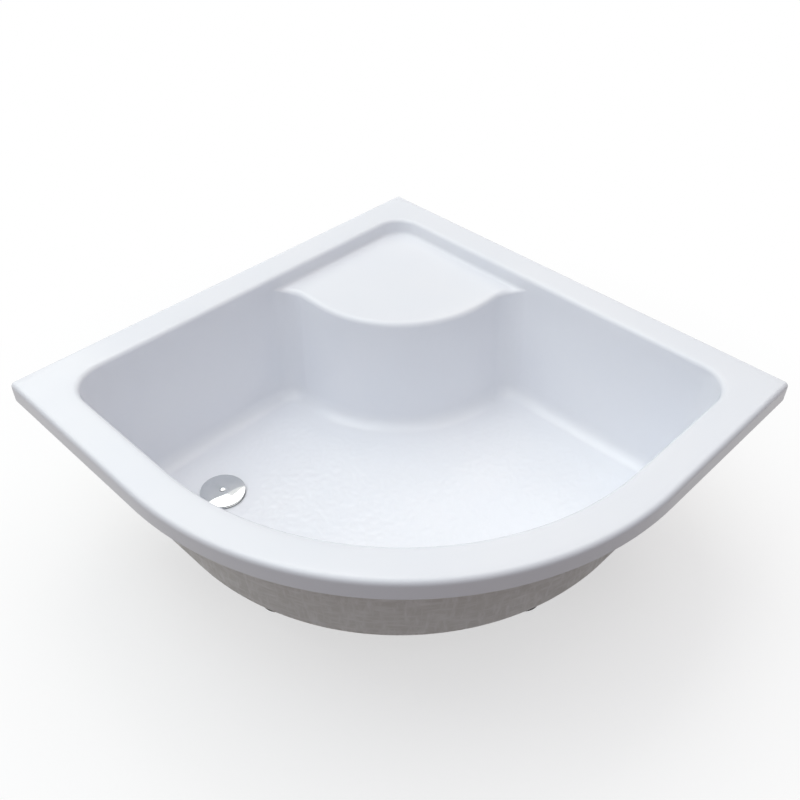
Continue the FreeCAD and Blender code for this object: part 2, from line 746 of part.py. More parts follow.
def trap_body():
    """Trap with a neck, a water-seal cup inside and a side outlet with a pipe socket."""
    neck = trap_bore + TRAP_NECK_WALL
    cup = CUP_RADIUS - CUP_WALL
    outline = [(0, trap_low_z), (TRAP_RADIUS - TRAP_WALL, trap_low_z), (TRAP_RADIUS, chamber_low_z)]
    outline += [(TRAP_RADIUS, chamber_high_z), (neck, trap_shoulder_z), (neck, trap_neck_z)]
    outline += [(TRAP_FLANGE_RADIUS, trap_neck_z), (TRAP_FLANGE_RADIUS, trap_top_z)]
    outline += [(trap_bore, trap_top_z), (trap_bore, trap_shoulder_z)]
    outline += [(chamber_radius, chamber_high_z - TRAP_WALL), (chamber_radius, chamber_low_z)]
    outline += [(CUP_RADIUS, chamber_low_z), (CUP_RADIUS, cup_top_z), (cup, cup_top_z)]
    outline += [(cup, chamber_low_z), (0, chamber_low_z)]
    body = turned(outline, drain_left, drain_back)
    spigot = outlet_rod(spigot_radius, 0, OUTLET_REACH)
    spigot = spigot.cut(rod(chamber_radius, 0, rim_z, drain_left, drain_back))
    throat = outlet_rod(THROAT_RADIUS, CUP_RADIUS, OUTLET_REACH)
    socket = outlet_rod(socket_radius, OUTLET_REACH - SOCKET_LENGTH, OUTLET_REACH)
    return body.fuse(spigot).cut([throat, socket]).Solids[0]


def trap_insert():
    """Dip tube that lifts out, with a rim, a groove for its ring and a strainer on top."""
    groove = ring_middle - RING_SECTION - RING_GAP
    groove_half = RING_SECTION + RING_GAP
    rim_radius = LEDGE_RADIUS - TUBE_RIM_GAP
    outline = [(TUBE_BORE, tube_low_z), (TUBE_RADIUS, tube_low_z), (TUBE_RADIUS, ring_z - groove_half)]
    outline += [(groove, ring_z - groove_half), (groove, ring_z + groove_half)]
    outline += [(TUBE_RADIUS, ring_z + groove_half), (TUBE_RADIUS, ledge_z), (rim_radius, ledge_z)]
    outline += [(rim_radius, flange_top_z), (TUBE_BORE, flange_top_z)]
    tube = turned(outline, drain_left, drain_back)
    middle = (drain_left, drain_back)
    hub = rod(HUB_RADIUS, ledge_z - HUB_DEPTH, ledge_z, *middle)
    strainer_low = ledge_z - STRAINER_DEPTH
    inner = STRAINER_RING_RADIUS - SPOKE/2
    strainer = ring(inner, inner + SPOKE, strainer_low, ledge_z, *middle)
    spokes = []
    reach = (TUBE_BORE + TUBE_RADIUS)/2
    for step in range(SPOKE_COUNT):
        spoke = Part.makeBox(reach, SPOKE, STRAINER_DEPTH, Vector(0, -SPOKE/2, 0))
        turn = Rotation(Vector(0, 0, 1), 360*step/SPOKE_COUNT)
        spoke.Placement = Placement(plan(*middle, strainer_low), turn)
        spokes.append(spoke)
    bore = rod(STEM_RADIUS + STEM_GAP, ledge_z - HUB_DEPTH - OVERRUN, flange_top_z, *middle)
    return tube.fuse([hub, strainer] + spokes).cut(bore).Solids[0]


def insert_ring():
    """Rubber ring in the dip tube's groove."""
    return Part.makeTorus(ring_middle, RING_SECTION, plan(drain_left, drain_back, ring_z))


def waste_cover():
    """Domed cover on a stem that stands in the strainer's hub."""
    top_edge_z = cover_edge_z + COVER_EDGE
    under_z = cover_top_z - COVER_SHEET
    inner_radius = COVER_RADIUS - COVER_SHEET
    outline = [(0, ledge_z - STEM_LENGTH), (STEM_RADIUS, ledge_z - STEM_LENGTH), (STEM_RADIUS, ledge_z)]
    outline += [(COLLAR_RADIUS, ledge_z), (COLLAR_RADIUS, under_z)]
    outline += [(inner_radius, top_edge_z - COVER_SHEET/2), (inner_radius, cover_edge_z)]
    outline += [(COVER_RADIUS, cover_edge_z), (COVER_RADIUS, top_edge_z)]
    outline += [(COVER_LAND, cover_top_z), (0, cover_top_z)]
    return turned(outline, drain_left, drain_back, domes=(4, 8))


def cover_knob():
    """Low button on the flat land at the middle of the cover."""
    outline = [(0, cover_top_z), (KNOB_RADIUS, cover_top_z), (KNOB_RADIUS, cover_top_z + KNOB_EDGE)]
    outline += [(0, cover_top_z + KNOB_HEIGHT)]
    return turned(outline, drain_left, drain_back, domes=(2,))


def outlet_seal():
    start = OUTLET_REACH
    end = OUTLET_REACH + OUTLET_SEAL
    bore = outlet_rod(entry_radius, start, end)
    return outlet_rod(spigot_radius - SEAL_GAP, start, end).cut(bore).Solids[0]


def outlet_nut():
    """Ribbed nut that squeezes the seal against the pipe."""
    start = outlet_end - OUTLET_NUT
    radius = spigot_radius + THREAD_GAP + OUTLET_NUT_WALL
    body = outlet_rod(radius, start, outlet_end)
    ribs = []
    for step in range(OUTLET_NUT_RIBS):
        turn = 2*math.pi*step/OUTLET_NUT_RIBS
        rib = outlet_rod(OUTLET_NUT_RIB, start, outlet_end)
        rib.translate(Vector(0, radius*math.cos(turn), radius*math.sin(turn)))
        ribs.append(rib)
    thread = outlet_rod(spigot_radius + THREAD_GAP, start, outlet_end - OUTLET_NUT_LIP)
    mouth = outlet_rod(entry_radius, start, outlet_end)
    return body.fuse(ribs).cut([thread, mouth]).Solids[0]


def all_parts():
    """Every piece of the tray by the name of its node."""
    parts = {"tray_shell": tray_shell(), "floor_board": floor_board(), "seat_board": seat_board()}
    for name, (middle, length) in rails.items():
        parts[name + "_rail"] = box_rail(middle, length)
    parts["rail_end_caps"] = rail_end_caps()
    parts["rail_screws"] = rail_screws()
    parts["rail_nuts"] = rail_nuts()
    parts["lock_nuts"] = lock_nuts()
    parts["seat_post"] = seat_post()
    parts["seat_post_plate"] = seat_post_plate()
    parts["seat_post_plug"] = seat_post_plug()
    parts["plate_screws"] = plate_screws()
    for name, place in foot_places().items():
        parts["foot_pad_" + name] = foot_pad(*place)
        parts["foot_stud_" + name] = foot_stud(*place)
    parts["waste_flange"] = waste_flange()
    parts["flange_seal"] = flange_seal()
    parts["body_seal"] = body_seal()
    parts["trap_body"] = trap_body()
    parts["trap_insert"] = trap_insert()
    parts["insert_ring"] = insert_ring()
    parts["waste_cover"] = waste_cover()
    parts["cover_knob"] = cover_knob()
    parts["outlet_seal"] = outlet_seal()
    parts["outlet_nut"] = outlet_nut()
    return parts


os.makedirs("parts", exist_ok=True)
for node, shape in all_parts().items():
    shape.exportStep("parts/" + node + ".step")
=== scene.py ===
import json
import math

import bpy
import numpy as np
from mathutils import Matrix, Vector, geometry
from mathutils import noise as turbulence

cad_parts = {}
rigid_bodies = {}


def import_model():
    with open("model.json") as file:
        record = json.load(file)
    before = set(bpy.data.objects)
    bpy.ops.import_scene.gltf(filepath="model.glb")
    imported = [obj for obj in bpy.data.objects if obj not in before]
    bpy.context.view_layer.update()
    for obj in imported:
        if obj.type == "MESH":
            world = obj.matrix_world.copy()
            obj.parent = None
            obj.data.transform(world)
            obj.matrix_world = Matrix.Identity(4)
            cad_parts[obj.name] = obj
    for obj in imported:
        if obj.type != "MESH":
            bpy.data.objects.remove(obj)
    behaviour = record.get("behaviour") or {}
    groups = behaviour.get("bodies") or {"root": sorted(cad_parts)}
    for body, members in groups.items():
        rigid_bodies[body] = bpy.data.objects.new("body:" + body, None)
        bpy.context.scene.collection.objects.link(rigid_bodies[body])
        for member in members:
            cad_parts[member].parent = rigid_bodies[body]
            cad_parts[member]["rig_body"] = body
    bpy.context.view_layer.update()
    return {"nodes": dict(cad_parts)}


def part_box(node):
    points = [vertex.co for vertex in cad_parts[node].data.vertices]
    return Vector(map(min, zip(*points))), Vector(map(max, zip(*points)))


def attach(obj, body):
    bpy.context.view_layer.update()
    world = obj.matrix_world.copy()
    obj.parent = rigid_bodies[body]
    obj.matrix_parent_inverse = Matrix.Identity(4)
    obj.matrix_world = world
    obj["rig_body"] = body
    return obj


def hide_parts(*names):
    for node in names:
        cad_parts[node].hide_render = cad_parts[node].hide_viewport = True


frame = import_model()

# A deep quadrant shower tray with a moulded corner seat. Sizes are in metres.
nodes = frame["nodes"]
tray_low, tray_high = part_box("tray_shell")
recess_low, recess_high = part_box("waste_flange")

# Tray outline, rim and basin
SIDE = tray_high[0] - tray_low[0]
RIM_Z = tray_high[2]
FRONT_RADIUS = 0.550
RIM_WIDTH = 0.063
LIP_DROP = 0.035
OUTER_CORNER = 0.008
RIM_OUTER_ROUND = 0.009
RIM_INNER_ROUND = 0.008
SHELL = 0.005
BASIN_DEPTH = 0.258
WALL_DRAFT = math.radians(7)
FLOOR_FALL = 0.012
FLOOR_ROUND = 0.026
WALL_CORNER = 0.052
SIDE_CORNER = 0.062

# Corner seat
SEAT_DROP = 0.030
SEAT_REACH = 0.370
SEAT_RADIUS = 0.215
SEAT_EDGE = 0.010
STEP_ROUND = 0.008
WING_RADIUS = 0.042
WING_TIP = 0.8

# Recess for the waste
RECESS_RADIUS = 0.040
RECESS_DEPTH = 0.004
WASTE_HOLE_RADIUS = 0.031
RECESS_EDGE = 0.001
WASTE_STEPS = 72

# Anti-slip grain of the floor
GRIP_SPACING = 0.0029
GRIP_HEIGHT = 0.0007
GRIP_LENGTH = 0.011
GRIP_WIDTH = 0.0065
GRIP_MARGIN = 0.016
GRIP_CONTRAST = 1.4

# Sections round the tray, and the rows of points down each
CORNER_STEPS = 36
SEAT_STEPS = 14
TIP_STEPS = 5
WING_STEPS = 22
WALL_STEPS = 24
END_STEPS = 14
FRONT_STEPS = 40
CROWDING = 0.88
SEAT_TURN = 29
WING_LEAD = 0.6
LIP_ROWS = 4
LIP_TOP = 1.4*RIM_OUTER_ROUND
RIM_ROWS = 6
SEAT_ROWS = 10
WALL_ROWS = 10
FULL_SEAT = 0.06
ROUND_SHARE = 0.4
TIP_FILL = 3
UNDER_SPACING = 0.014
FILL_MARGIN = 0.8

# Places on a round, as shares of its radius off its edge
BEND = np.array((1.0, 0.78, 0.55, 0.34, 0.14))
FLOOR_BEND = np.array((1.0, 0.86, 0.72, 0.58, 0.44, 0.3, 0.17, 0.05))

# Limits of the calculations
SETTLE_REACH = 0.004
SETTLE_ROUNDS = 25
LEAST_SLOPE = 0.1
SLOPE_STEP = 1e-5
SAME_POINT = 1e-7
ON_AXIS = 1e-6
TINY = 1e-9

# Values that follow from the ones above
SLOPE = math.tan(WALL_DRAFT)
DRAFT_SHARE = math.cos(WALL_DRAFT)
DIAGONAL = math.sqrt(0.5)
DRAIN_LEFT = (recess_low[0] + recess_high[0])/2 + SIDE/2
DRAIN_BACK = SIDE/2 - (recess_low[1] + recess_high[1])/2


def smooth_step(value):
    """Ease from 0 to 1, flat at both ends."""
    share = np.clip(value, 0, 1)
    return share*share*(3 - 2*share)


# The tray's upper surface, as a signed distance

def round_union(one, other, radius):
    """Distance to two solids joined, with a fillet of that radius in the corner between them."""
    corner = np.hypot(np.maximum(radius - one, 0), np.maximum(radius - other, 0))
    return np.maximum(radius, np.minimum(one, other)) - corner


def round_meet(one, other, radius):
    """Distance to the space two solids share, with the edge between their faces rounded."""
    edge = np.hypot(np.maximum(radius + one, 0), np.maximum(radius + other, 0))
    return np.minimum(-radius, np.maximum(one, other)) + edge


def inside_plan(left, back, inset, radii):
    """Distance inside the plan outline moved in by an inset, with a radius at each corner.

    The corners are the one between the walls, the right end, the front and the left end.
    """
    low = inset
    high = SIDE - inset
    sides = [left - low, back - low, high - left, high - back]
    distance = np.minimum.reduce(sides)
    corners = ((0, 1), (2, 1), (2, 3), (0, 3))
    for (one, other), radius in zip(corners, radii):
        beyond_one = np.maximum(radius - sides[one], 0)
        beyond_other = np.maximum(radius - sides[other], 0)
        in_corner = (beyond_one > 0) & (beyond_other > 0)
        distance = np.where(in_corner, radius - np.hypot(beyond_one, beyond_other), distance)
    return distance


def floor_depth(left, back):
    """Depth of the sloping floor below the rim: it falls towards the waste."""
    return BASIN_DEPTH - FLOOR_FALL*((left - DRAIN_LEFT) - (back - DRAIN_BACK))*DIAGONAL


def seat_front(left, back, depth):
    """Distance to the front of the corner seat, without its wings."""
    centre = SEAT_REACH - SEAT_RADIUS
    round_part = np.hypot(left - centre, back - centre) - SEAT_RADIUS
    straight_part = np.maximum(left, back) - SEAT_REACH
    beyond = np.where((left > centre) & (back > centre), round_part, straight_part)
    return (beyond - (depth - SEAT_DROP)*SLOPE)*DRAFT_SHARE


def basin_sides(left, back, depth):
    """Distance to the walls and to the seat, whose front runs out along the walls in two wings.

    The seat's edge gets ever sharper towards the tips of the wings.
    """
    radii = (WALL_CORNER, SIDE_CORNER, FRONT_RADIUS - RIM_WIDTH, SIDE_CORNER)
    wall = (inside_plan(left, back, RIM_WIDTH, radii) - depth*SLOPE)*DRAFT_SHARE
    front = seat_front(left, back, depth)
    edge_round = SEAT_EDGE*(1 - smooth_step(front/(WING_TIP*WING_RADIUS)))
    step = round_union(wall, SEAT_DROP - depth, STEP_ROUND)
    return round_meet(round_union(wall, front, WING_RADIUS), step, edge_round)


def tray_surface(points):
    """Signed distance from points off the left wall, off the back wall and below the rim."""
    left, back, depth = points.T
    basin = round_union(basin_sides(left, back, depth), floor_depth(left, back) - depth, FLOOR_ROUND)
    outer_radii = (OUTER_CORNER, OUTER_CORNER, FRONT_RADIUS, OUTER_CORNER)
    outside = -inside_plan(left, back, 0, outer_radii)
    rim = round_meet(-depth, outside, RIM_OUTER_ROUND)
    return round_meet(rim, basin, RIM_INNER_ROUND)


def surface_slope(points):
    """Gradient of the signed distance at each point."""
    slope = np.empty_like(points)
    for axis in range(3):
        shift = np.zeros(3)
        shift[axis] = SLOPE_STEP
        rise = tray_surface(points + shift) - tray_surface(points - shift)
        slope[:, axis] = rise/(2*SLOPE_STEP)
    return slope


def settle(points, level):
    """Move points along the gradient until they lie at that distance from the surface."""
    for _ in range(SETTLE_ROUNDS):
        slope = surface_slope(points)
        excess = np.clip(tray_surface(points) - level, -SETTLE_REACH, SETTLE_REACH)
        steepness = np.maximum((slope**2).sum(axis=1), LEAST_SLOPE)
        points = points - slope*(excess/steepness)[:, None]
    return points


# Sections round the tray

def line(start, end, share):
    start = np.array(start)
    return start + (np.array(end) - start)*share[:, None]


def turn(first, last, share):
    """Unit vectors in plan that turn from one angle to another, in degrees."""
    angle = np.radians(first + (last - first)*share)
    return np.column_stack([np.cos(angle), np.sin(angle)])


def even(count):
    return np.arange(count)/count


def crowded(count):
    """Shares of a quarter turn, closest together at its middle."""
    place = 2*even(count) - 1
    return (1 + (1 - CROWDING)*place + CROWDING*place**3)/2


def between_ends(count):
    """Even shares from 0 to 1, without these two."""
    return np.linspace(0, 1, count)[1:-1]


def to_edge(points, directions):
    """Where rays in plan meet the tray's square outline."""
    room = np.where(directions > 0, SIDE - points, points)
    length = room/np.maximum(np.abs(directions), TINY)
    return points + directions*length.min(axis=1)[:, None]


def half_sections():
    """Places along the back wall and half of the front where a section is drawn.

    For each place: the rim's outer edge, its inner edge and the way inwards there, then the
    wall or the seat's front at the seat's level, the way it faces and the way its draft moves it.
    """
    low = RIM_WIDTH
    high = SIDE - RIM_WIDTH
    wall = low + SEAT_DROP*SLOPE
    bulge = SEAT_REACH - SEAT_RADIUS
    back_corner = low + WALL_CORNER
    side_corner = high - SIDE_CORNER
    front = SIDE - FRONT_RADIUS
    wing_start = SEAT_REACH - WING_LEAD*WING_RADIUS
    wing_end = SEAT_REACH + WING_RADIUS
    bulge_end = wing_start - WING_RADIUS
    keys = ("outer", "inner", "inward", "foot", "forward", "drift")
    found = {key: [] for key in keys}

    def add(outer, inner, inward, foot=None, forward=None, drift=None):
        foot = inner + np.array(inward)*SLOPE*SEAT_DROP if foot is None else foot
        forward = inward if forward is None else forward
        drift = forward if drift is None else drift
        for key, value in zip(keys, (outer, inner, inward, foot, forward, drift)):
            found[key].append(np.broadcast_to(value, inner.shape))

    def add_side(start, end, inward, count, **lower):
        inner = line(start, end, even(count))
        add(inner - np.array(inward)*RIM_WIDTH, inner, inward, **lower)

    def add_corner(centre, radius, share, first, last, **lower):
        out = turn(first, last, share)
        middle = np.broadcast_to(centre, out.shape)
        add(to_edge(middle, out), middle + radius*out, -out, **lower)

    half = crowded(CORNER_STEPS)[CORNER_STEPS//2:]*2 - 1
    out = turn(45, SEAT_TURN, half)
    front_side = {"foot": bulge + SEAT_RADIUS*out, "forward": out}
    add_corner((back_corner, back_corner), WALL_CORNER, half, 225, 270, **front_side)
    out = turn(SEAT_TURN, 0, even(SEAT_STEPS))
    front_side = {"foot": bulge + SEAT_RADIUS*out, "forward": out}
    add_side((back_corner, low), (bulge_end, low), (0, 1), SEAT_STEPS, **front_side)
    foot = line((SEAT_REACH, bulge), (SEAT_REACH, wall + WING_RADIUS), even(TIP_STEPS))
    drift = line((1, 0), (1, 1), even(TIP_STEPS))
    front_side = {"foot": foot, "forward": (1, 0), "drift": drift}
    add_side((bulge_end, low), (wing_start, low), (0, 1), TIP_STEPS, **front_side)
    out = turn(180, 270, even(WING_STEPS))
    foot = np.array((wing_end, wall + WING_RADIUS)) + WING_RADIUS*out
    front_side = {"foot": foot, "forward": -out, "drift": (1, 1)}
    add_side((wing_start, low), (wing_end, low), (0, 1), WING_STEPS, **front_side)
    drift = line((1, 1), (0, 1), even(WALL_STEPS))
    add_side((wing_end, low), (side_corner, low), (0, 1), WALL_STEPS, drift=drift)
    share = crowded(CORNER_STEPS)
    add_corner((side_corner, low + SIDE_CORNER), SIDE_CORNER, share, 270, 360)
    add_side((high, low + SIDE_CORNER), (high, front), (-1, 0), END_STEPS)
    out = turn(0, 45, np.arange(FRONT_STEPS + 1)/FRONT_STEPS)
    add(front + FRONT_RADIUS*out, front + (FRONT_RADIUS - RIM_WIDTH)*out, -out)
    return {key: np.concatenate(value) for key, value in found.items()}


def sections():
    """Sections all round: the half along the back wall, and its mirror image on the left."""
    whole = {}
    for key, half in half_sections().items():
        whole[key] = np.concatenate([half, half[-2:0:-1, ::-1]])
    return whole


def section_rows(place):
    """Rows of points round the tray, from the lip's edge down to the floor.

    With the rows goes the range of those that cross the seat.
    """
    outer, inner, inward = place["outer"], place["inner"], place["inward"]
    foot, forward, drift = place["foot"], place["forward"], place["drift"]
    rows = []

    def add(plan, depth):
        rows.append(np.column_stack([plan, np.broadcast_to(depth, len(plan))]))

    def on_wall(depth):
        return inner + inward*np.reshape(depth*SLOPE, (-1, 1))

    def on_front(depth):
        return foot + drift*np.reshape((depth - SEAT_DROP)*SLOPE, (-1, 1))

    width = np.linalg.norm(inner - outer, axis=1)
    across = (inner - outer)/width[:, None]
    for depth in np.linspace(LIP_DROP, LIP_TOP, LIP_ROWS):
        add(outer, depth)
    for share in BEND:
        add(outer, RIM_OUTER_ROUND*share)
    for share in BEND[::-1]:
        add(outer + across*RIM_OUTER_ROUND*share, 0)
    for share in between_ends(RIM_ROWS):
        reach = RIM_OUTER_ROUND + (width - RIM_OUTER_ROUND - RIM_INNER_ROUND)*share
        add(outer + across*reach[:, None], 0)
    for share in BEND:
        add(inner - across*RIM_INNER_ROUND*share, 0)
    for share in BEND[::-1]:
        add(on_wall(RIM_INNER_ROUND*share), RIM_INNER_ROUND*share)
    first = len(rows)
    rows += seat_rows(on_wall, on_front)
    across_seat = slice(first, len(rows))
    floor = floor_depth(*on_front(BASIN_DEPTH).T)
    wall_top = SEAT_DROP + SEAT_EDGE
    for share in between_ends(WALL_ROWS):
        depth = wall_top + (floor - FLOOR_ROUND - wall_top)*share
        add(on_front(depth), depth)
    for share in FLOOR_BEND:
        depth = floor - FLOOR_ROUND*share
        add(on_front(depth), depth)
    for share in FLOOR_BEND[::-1]:
        plan = on_front(floor) + forward*FLOOR_ROUND*share
        add(plan, floor_depth(*plan.T))
    return np.array(rows), across_seat


def seat_rows(on_wall, on_front):
    """Rows over the step and the seat, which close up on the wall where there is no seat."""
    back = on_wall(SEAT_DROP)
    edge = on_front(SEAT_DROP)
    reach = np.linalg.norm(edge - back, axis=1)
    across = (edge - back)/np.maximum(reach, TINY)[:, None]
    step = np.minimum(STEP_ROUND, ROUND_SHARE*reach)
    lip = np.minimum(SEAT_EDGE, ROUND_SHARE*reach)
    drawn = [(on_wall(depth), depth) for depth in SEAT_DROP - STEP_ROUND*BEND]
    drawn += [(back + across*(step*share)[:, None], SEAT_DROP) for share in BEND[::-1]]
    for share in between_ends(SEAT_ROWS):
        drawn.append((back + across*(step + (reach - step - lip)*share)[:, None], SEAT_DROP))
    drawn += [(edge - across*(lip*share)[:, None], SEAT_DROP) for share in BEND]
    drawn += [(on_front(depth), depth) for depth in SEAT_DROP + SEAT_EDGE*BEND[::-1]]
    seated = smooth_step(reach/FULL_SEAT)[:, None]
    rows = []
    for index, (plan, depth) in enumerate(drawn):
        share = index/(len(drawn) - 1)
        bare_depth = SEAT_DROP - STEP_ROUND + (STEP_ROUND + SEAT_EDGE)*share
        bare_plan = on_wall(bare_depth)*(1 - share) + on_front(bare_depth)*share
        bare = np.column_stack([bare_plan, np.full(len(plan), bare_depth)])
        seat = np.column_stack([plan, np.full(len(plan), depth)])
        rows.append(bare*(1 - seated) + seat*seated)
    return rows


# Tray shell

def to_row(points):
    """Points off the walls and below the rim, in the frame."""
    left, back, depth = points.T
    return np.column_stack([left - SIDE/2, SIDE/2 - back, RIM_Z - depth])


def circle(radius):
    """Points in plan round the waste, in the order of the sections."""
    angle = 2*math.pi*np.arange(WASTE_STEPS)/WASTE_STEPS
    return np.column_stack([DRAIN_LEFT + radius*np.cos(angle), DRAIN_BACK + radius*np.sin(angle)])


def off_points(plan, others):
    """Distance in plan from each point to the nearest of some others."""
    nearest = np.full(len(plan), np.inf)
    for other in others:
        nearest = np.minimum(nearest, np.linalg.norm(plan - other, axis=1))
    return nearest


def off_waste(plan):
    return np.linalg.norm(plan - (DRAIN_LEFT, DRAIN_BACK), axis=1)


def inside_loop(plan, loop):
    """Whether each point in plan lies inside a closed loop of points."""
    inside = np.zeros(len(plan), bool)
    for one, other in zip(loop, np.roll(loop, -1, axis=0)):
        beside = (one[1] > plan[:, 1]) != (other[1] > plan[:, 1])
        rise = other[1] - one[1] or 1
        inside ^= beside & (one[0] + (other[0] - one[0])*(plan[:, 1] - one[1])/rise > plan[:, 0])
    return inside


def floor_fill(boundary, hole, spacing):
    """Points in plan between the floor's edge and the waste, and triangles over all of them.

    Triangles number the edge's points first, then the waste's and then the points between.
    """
    clear = FILL_MARGIN*spacing
    ends = zip(boundary.min(axis=0), boundary.max(axis=0))
    spans = [np.arange(low, high, spacing) for low, high in ends]
    grid = np.stack(np.meshgrid(*spans), axis=-1).reshape(-1, 2)
    grid = grid[inside_loop(grid, boundary) & (off_waste(grid) > off_waste(hole).max() + clear)]
    grid = grid[off_points(grid, boundary) > clear]
    edges = []
    for first, count in ((0, len(boundary)), (len(boundary), len(hole))):
        edges += [(first + index, first + (index + 1) % count) for index in range(count)]
    plan = np.concatenate([boundary, hole, grid])
    corners = [Vector(point) for point in plan]
    result = geometry.delaunay_2d_cdt(corners, edges, [], 1, SAME_POINT)
    origins = [sources[0] for sources in result[3]]
    triangles = np.array([[origins[corner] for corner in face] for face in result[2]])
    middles = plan[triangles].mean(axis=1)
    kept = inside_loop(middles, boundary) & ~inside_loop(middles, hole)
    return grid, triangles[kept].tolist()


def grip_grain(plan, edge):
    """Height of the floor's anti-slip grain, which fades out towards its edge and the waste."""
    margin = np.minimum(off_points(plan, edge), off_waste(plan) - RECESS_RADIUS)
    fade = smooth_step((margin - GRIP_MARGIN)/GRIP_MARGIN)
    along = (plan[:, 0] + plan[:, 1])*DIAGONAL/GRIP_LENGTH
    across = (plan[:, 0] - plan[:, 1])*DIAGONAL/GRIP_WIDTH
    field = [turbulence.noise(Vector((one, other, 0))) for one, other in zip(along, across)]
    return GRIP_HEIGHT*fade*smooth_step(0.5 + GRIP_CONTRAST*np.array(field))


def make_mesh(name, points, faces):
    mesh = bpy.data.meshes.new(name)
    mesh.from_pydata([tuple(point) for point in points], [], faces)
    mesh.validate()
    mesh.update()
    piece = bpy.data.objects.new(name, mesh)
    bpy.context.collection.objects.link(piece)
    return piece


def smooth(piece, angle=40):
    """Shade smoothly, with hard edges where faces meet at more than an angle in degrees."""
    piece.data.polygons.foreach_set("use_smooth", [True]*len(piece.data.polygons))
    piece.data.set_sharp_from_angle(angle=math.radians(angle))


def band(first, second, count):
    """Quads between two closed rows of points, by the number of each row's first point."""
    quads = []
    for index in range(count):
        following = (index + 1) % count
        quads.append((first + index, second + index, second + following, first + following))
    return quads


def recess_rings(level):
    """Rings down the side of the waste's recess and in to its hole, with both corners eased."""
    radius = RECESS_RADIUS + level
    plane = floor_depth(*circle(radius).T) + level
    low = BASIN_DEPTH + RECESS_DEPTH + level
    ease = RECESS_EDGE*(1 - DIAGONAL)
    sizes = [(radius + ease, plane + ease), (radius, plane + RECESS_EDGE), (radius, low - RECESS_EDGE)]
    sizes += [(radius - ease, low - ease), (radius - RECESS_EDGE, low), (WASTE_HOLE_RADIUS, low)]
    rings = []
    for size, depth in sizes:
        rings.append(np.column_stack([circle(size), np.broadcast_to(depth, WASTE_STEPS)]))
    return rings


def shell_side(rows, around, level, spacing):
    """Points and faces of one side of the shell, lowered by a level, and its last ring's start."""
    edge = rows[-around:, :2]
    mouth = circle(RECESS_RADIUS + level + RECESS_EDGE)
    floor_plan, triangles = floor_fill(edge, mouth, spacing)
    flat = np.concatenate([mouth, floor_plan])
    grain = grip_grain(flat, edge) if level == 0 else 0
    rings = recess_rings(level)
    faces = []
    for first in range(0, len(rows) - around, around):
        faces += band(first, first + around, around)
    first_flat = len(rows) - around
    faces += [tuple(first_flat + corner for corner in reversed(triangle)) for triangle in triangles]
    ring = len(rows)
    following = ring + len(flat)
    for _ in rings:
        faces += band(ring, following, WASTE_STEPS)
        ring = following
        following += WASTE_STEPS
    flat = np.column_stack([flat, floor_depth(*flat.T) + level - grain])
    return np.concatenate([rows, flat] + rings), faces, ring


def fill_tips(under, place, across_seat):
    """Carry the underside straight past the tips of the wings, where the shell fills them."""
    width = np.linalg.norm(place["foot"] - place["inner"], axis=1)
    filled = 1 - smooth_step(width/SHELL - TIP_FILL)
    seat = under[across_seat]
    straight = np.linspace(seat[0], seat[-1], len(seat))
    under[across_seat] = seat + (straight - seat)*filled[:, None]


def tray_shell():
    """The moulded shell with its drafted basin, seat and lip, closed by its own underside."""
    place = sections()
    drawn, across_seat = section_rows(place)
    around = drawn.shape[1]
    upper = settle(drawn.reshape(-1, 3), 0)
    slope = surface_slope(upper)
    slope /= np.linalg.norm(slope, axis=1)[:, None]
    under = settle(upper - slope*SHELL, -SHELL)
    fill_tips(under.reshape(drawn.shape), place, across_seat)
    top, faces, waste = shell_side(upper, around, 0, GRIP_SPACING)
    low, backs, low_waste = shell_side(under, around, SHELL, UNDER_SPACING)
    backs = [tuple(len(top) + corner for corner in reversed(face)) for face in backs]
    faces += band(len(top), 0, around) + band(waste, len(top) + low_waste, WASTE_STEPS)
    piece = make_mesh("tray_moulding", to_row(np.concatenate([top, low])), faces + backs)
    piece.data.polygons.foreach_set("material_index", [0]*len(faces) + [1]*len(backs))
    smooth(piece)
    return piece


# Turned pieces of the waste

def lathe(name, outline, centre, count=96):
    """Piece turned about an upright axis from an open or closed outline of radius and height."""
    points = []
    rings = []
    for radius, height in outline:
        if radius < ON_AXIS:
            rings.append([len(points)])
            points.append((centre[0], centre[1], height))
            continue
        rings.append(list(range(len(points), len(points) + count)))
        for index in range(count):
            angle = 2*math.pi*index/count
            x = centre[0] + radius*math.cos(angle)
            points.append((x, centre[1] + radius*math.sin(angle), height))
    faces = []
    for ring, following in zip(rings, rings[1:]):
        for index in range(count):
            after = (index + 1) % count
            corners = [ring[index % len(ring)], ring[after % len(ring)]]
            corners += [following[after % len(following)], following[index % len(following)]]
            faces.append(tuple(dict.fromkeys(corners)))
    return make_mesh(name, points, faces)


def arc_points(start, end, bulge, count):
    """Points on an arc between two points, without the first, by the height of its bow.

    The bow stands to the left of the way from start to end.
    """
    start = np.array(start)
    end = np.array(end)
    chord = end - start
    half = np.linalg.norm(chord)/2
    radius = (half**2 + bulge**2)/(2*abs(bulge))
    side = np.array((-chord[1], chord[0]))/(2*half)*math.copysign(1, bulge)
    centre = (start + end)/2 - side*(radius - abs(bulge))
    sweep = 2*math.asin(half/radius)
    first = start - centre
    points = []
    for index in range(1, count + 1):
        angle = -math.copysign(sweep, bulge)*index/count
        turned = (first[0]*math.cos(angle) - first[1]*math.sin(angle),
                  first[0]*math.sin(angle) + first[1]*math.cos(angle))
        points.append(tuple(centre + turned))
    return points


